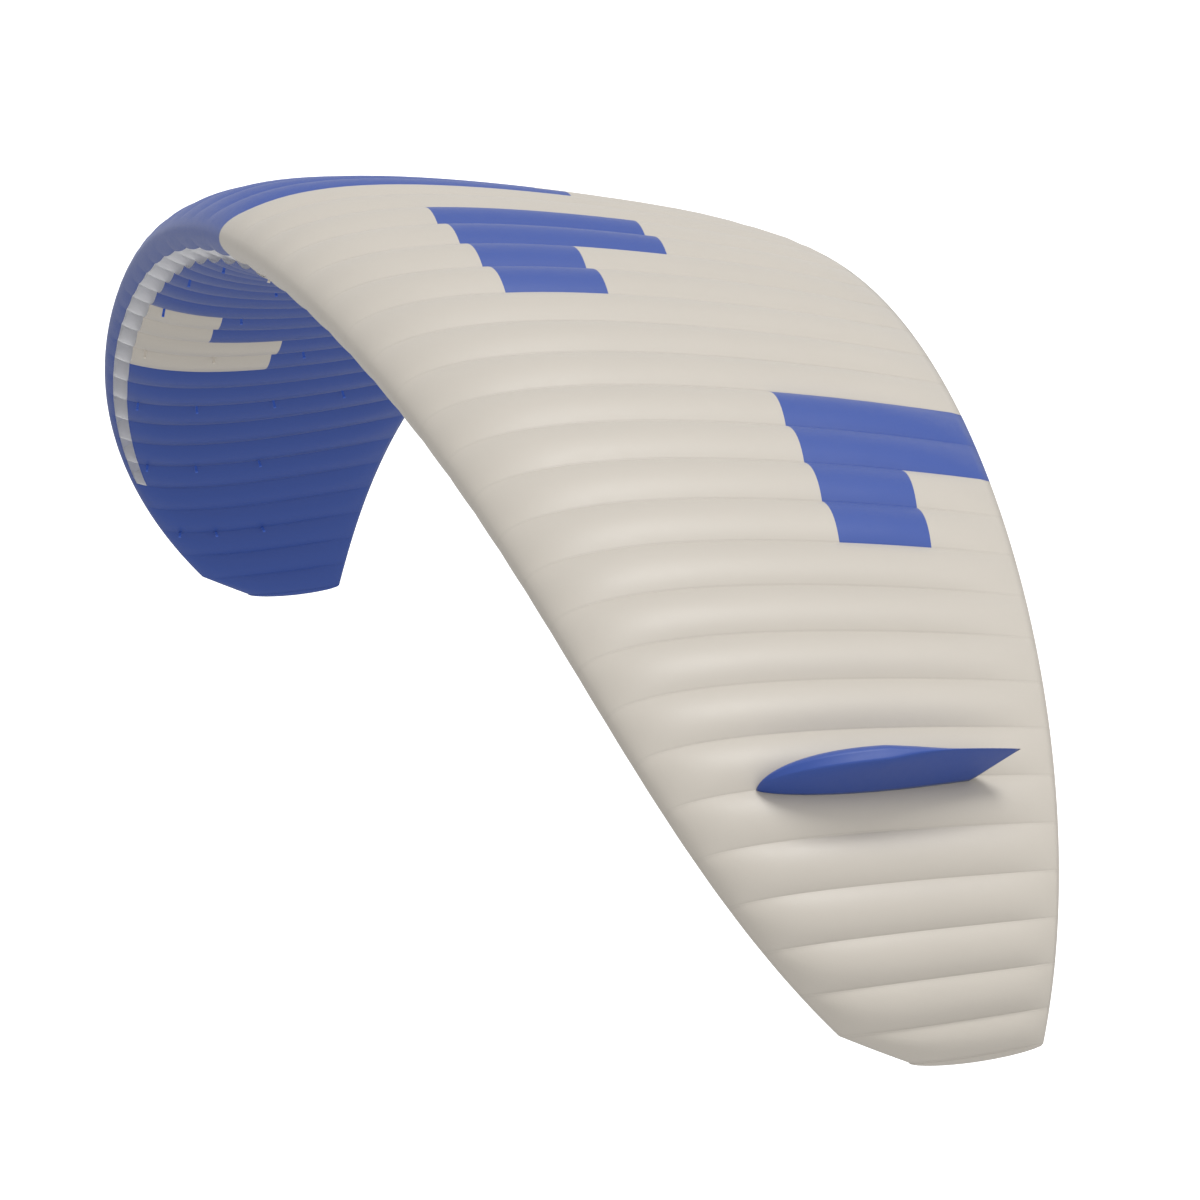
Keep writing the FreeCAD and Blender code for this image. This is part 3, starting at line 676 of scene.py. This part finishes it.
def tip_pieces(side_name):
    """The winglet and the tip's end cloth, which ride on the tip."""
    slots = {"left": "cream_cloth", "right": "blue_cloth"}
    for piece, slot in ((winglet(side_name), "blue_cloth"), (tip_end(side_name), slots[side_name])):
        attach(piece, side_name + "_wing_tip")


def mirrored(point, side_name):
    """A point of the left wing, moved to the given side."""
    return (SIDES[side_name]["sign"] * point[0], point[1], point[2])


def joint_axis(name):
    """Position and direction of the left joint of a kind, as numpy vectors."""
    joint = next(item for item in frame["joints"] if item["name"] == "left_" + name)
    axis = np.array(joint["axis"], float)
    return np.array(joint["pos_m"], float), axis / np.linalg.norm(axis)


def hinge_ramp():
    """Gradient and offset of the brake flap's bend, which grows from 0 to 1 across the brake line."""
    pivot, axis = joint_axis("brake")
    section = Stations(float(FLAP_OUTER))
    back = section.point(1.0) - section.point(0.0)
    back -= axis * back.dot(axis)
    middle = Stations((FLAP_OUTER + FLAP_INNER) / 2.0)
    reach = HINGE_REACH * float(middle.chord)
    gradient = back / np.linalg.norm(back) / (2 * reach)
    return gradient, 0.5 - gradient.dot(pivot)


def ramp_points(gradient, offset, near):
    """Start and end points of a bend whose share is gradient . point + offset."""
    size = gradient.dot(gradient)
    start = near - gradient * (gradient.dot(near) + offset) / size
    return start, start + gradient / size


def flap_bend(side_name):
    """Start and end of the bend across the brake line."""
    gradient, offset = hinge_ramp()
    pivot, _ = joint_axis("brake")
    start, end = ramp_points(gradient, offset, pivot)
    return mirrored(start, side_name), mirrored(end, side_name)


def gusset_bend(rib, beyond):
    """Bend of the cell beside the flap, which joins the flap's bend at rib and is still at the next one."""
    def bend(side_name):
        gradient, offset = hinge_ramp()
        section = Stations(float(rib))
        far = Stations(float(beyond))
        edge = far.point(1.0)
        outward = section.spanwise * (1 if beyond < rib else -1)
        slope = (gradient.dot(edge) + offset) / outward.dot(edge - section.point(1.0))
        slanted = gradient - outward * slope * GUSSET_MARGIN
        raised = offset + outward.dot(section.point(1.0)) * slope * GUSSET_MARGIN
        start, end = ramp_points(slanted, raised, section.point(HINGE_START))
        return mirrored(start, side_name), mirrored(end, side_name)
    return bend


def fold_bend(side_name):
    """Start and end of the bend across the tip's fold."""
    fold = Stations(float(FOLD_RIB))
    middle = fold.point(0.5)
    reach_in = (Stations(float(FOLD_END)).point(0.5) - middle).dot(fold.spanwise)
    reach_out = (Stations(float(FOLD_START)).point(0.5) - middle).dot(fold.spanwise)
    return (mirrored(middle + fold.spanwise * reach_in, side_name),
            mirrored(middle + fold.spanwise * reach_out, side_name))


BENDS = {"flap_sail": flap_bend, "fold_sail": fold_bend,
         "flap_outer_gusset": gusset_bend(FLAP_OUTER + 1, FLAP_OUTER),
         "flap_inner_gusset": gusset_bend(FLAP_INNER - 1, FLAP_INNER)}


def finish_cad():
    """Better materials for the CAD nodes that stay in sight."""
    finishes = {"rib": rib_cloth, "battens": batten_plastic, "straps": strap_tape}
    for name, node in frame["nodes"].items():
        for word, material in finishes.items():
            if word in name:
                node.data.materials.clear()
                node.data.materials.append(material)
        if "loops" in name:
            match_loops(node)


def match_loops(node):
    """Give each line loop the colour of the cloth it is sewn to."""
    ribs, turns = np.meshgrid(np.arange(0.5, CELLS), np.linspace(-1, 0, LOOP_STEPS), indexing="ij")
    cloth = Stations(ribs).point(turns)
    node.data.materials.clear()
    for material in (cream_tape, blue_tape):
        node.data.materials.append(material)
    for face in node.data.polygons:
        x, y, z = node.matrix_world @ face.center
        near = np.argmin(np.linalg.norm(cloth - (abs(x), y, z), axis=-1))
        side = SIDES["left" if x > 0 else "right"]
        face.material_index = colour_index(side, ribs.flat[near], turns.flat[near])


# name, strength, softness, angle from straight above, turn from the front towards the left wing and
# whether it gives highlights
LIGHTS = (("key", 2.0, 24.0, 18.0, 140.0, True), ("fill", 0.8, 60.0, 92.0, 95.0, False),
          ("bounce", 1.3, 170.0, 180.0, 0.0, False))


FLOOR_HALF = 400.0
FLOOR_LEVEL = -14.0
FLOOR_GLOW = 0.5
WORLD_BELOW = 0.45          # strength of the light from straight below and from straight above
WORLD_ABOVE = 0.80

CAMERA_LENS = 151.13        # millimetres, on a sensor 36 mm wide
CAMERA_PLACE = (20.374, -4.393, 2.319)  # from the middle of the centre rib's nose
CAMERA_YAW, CAMERA_PITCH, CAMERA_ROLL = 1.2867, -0.1839, -0.0556


def floor_plane():
    """Pale floor far below, which doesn't light the wing."""
    data = bpy.data.meshes.new("floor")
    corners = [(-1, -1), (1, -1), (1, 1), (-1, 1)]
    data.from_pydata([(x * FLOOR_HALF, y * FLOOR_HALF, FLOOR_LEVEL) for x, y in corners], [], [(0, 1, 2, 3)])
    floor = bpy.data.objects.new("floor", data)
    bpy.context.scene.collection.objects.link(floor)
    material, shader = node_material("floor", (0.8, 0.8, 0.8), 0.9, 0.0, 0.0)
    shader.inputs["Emission Color"].default_value = (1, 1, 1, 1)
    shader.inputs["Emission Strength"].default_value = FLOOR_GLOW
    data.materials.append(material)
    floor.visible_diffuse = False
    floor.visible_glossy = False


def studio():
    """Soft light from all round, stronger from above, with a key, a fill and a bounce light."""
    floor_plane()
    world = bpy.data.worlds.new("studio")
    world.use_nodes = True
    tree = world.node_tree
    background = tree.nodes["Background"]
    background.inputs[0].default_value = (1, 1, 1, 1)
    direction = tree.nodes.new("ShaderNodeSeparateXYZ")
    tree.links.new(tree.nodes.new("ShaderNodeTexCoord").outputs["Generated"], direction.inputs[0])
    ramp = tree.nodes.new("ShaderNodeMapRange")
    tree.links.new(direction.outputs[2], ramp.inputs["Value"])
    for socket, value in (("From Min", -1.0), ("From Max", 1.0), ("To Min", WORLD_BELOW),
                          ("To Max", WORLD_ABOVE)):
        ramp.inputs[socket].default_value = value
    tree.links.new(ramp.outputs[0], background.inputs[1])
    bpy.context.scene.world = world
    for name, energy, spread, tilt, turn, glossy in LIGHTS:
        light = bpy.data.lights.new(name, "SUN")
        light.energy = energy
        light.angle = math.radians(spread)
        lamp = bpy.data.objects.new(name, light)
        lamp.rotation_euler = (math.radians(tilt), 0, math.radians(turn))
        lamp.visible_glossy = glossy
        bpy.context.scene.collection.objects.link(lamp)
    bpy.context.scene.view_settings.view_transform = "Standard"


def camera():
    """Camera from the left, a little ahead of and above the wing."""
    data = bpy.data.cameras.new("camera")
    data.sensor_width = 36.0
    data.lens = CAMERA_LENS
    data.clip_end = 2000.0
    yaw, pitch, roll = CAMERA_YAW, CAMERA_PITCH, CAMERA_ROLL
    forward = Vector((-math.sin(yaw) * math.cos(pitch), math.cos(yaw) * math.cos(pitch), math.sin(pitch)))
    right = Vector((math.cos(yaw), math.sin(yaw), 0))
    above = right.cross(forward)
    right_rolled = right * math.cos(roll) + above * math.sin(roll)
    above_rolled = above * math.cos(roll) - right * math.sin(roll)
    matrix = Matrix((right_rolled, above_rolled, -forward)).transposed().to_4x4()
    matrix.translation = Vector(CAMERA_PLACE) - Vector(HANG)
    view = bpy.data.objects.new("camera", data)
    view.matrix_world = matrix
    bpy.context.scene.collection.objects.link(view)
    bpy.context.scene.camera = view


camera()
studio()
finish_cad()
for name in SIDES:
    cover(name)
    tip_pieces(name)
    flap_ribs(name)
